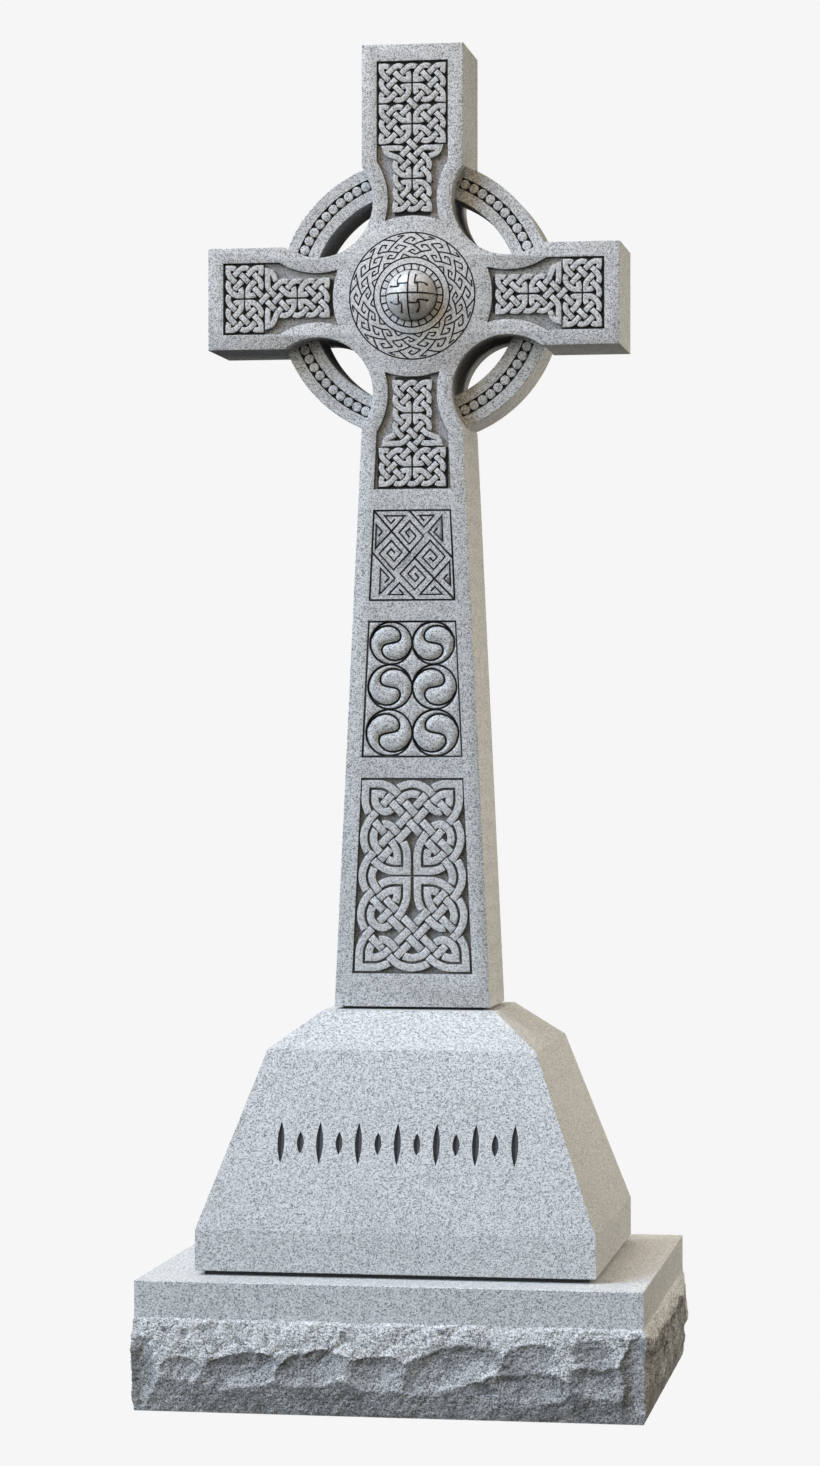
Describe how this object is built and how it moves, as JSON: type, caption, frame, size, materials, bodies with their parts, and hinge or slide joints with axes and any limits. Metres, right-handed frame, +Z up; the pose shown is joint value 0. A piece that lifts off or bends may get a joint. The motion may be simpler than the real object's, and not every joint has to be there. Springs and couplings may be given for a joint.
{
  "type": "celtic cross headstone",
  "caption": "Ringed granite cross with knotwork, key and spiral panels, on a tapered plinth and a rock-faced base.",
  "frame": {"origin": "middle of the base's underside", "axes": "+Z up along the shaft, -Y out of the carved front, +X along the arms to the viewer's right"},
  "size_m": [0.7836, 0.6616, 2.0714],
  "materials": {
    "base_granite": "fine-grained grey granite, smooth margin on top and rock-pitched sides",
    "plinth_granite": "fine-grained grey granite, matte steeled faces",
    "cross_granite": "fine-grained grey granite, matte steeled faces with darker sunk panels"
  },
  "bodies": {
    "root": {"base": "base_granite", "plinth": "plinth_granite", "cross": "cross_granite"}
  },
  "joints": []
}
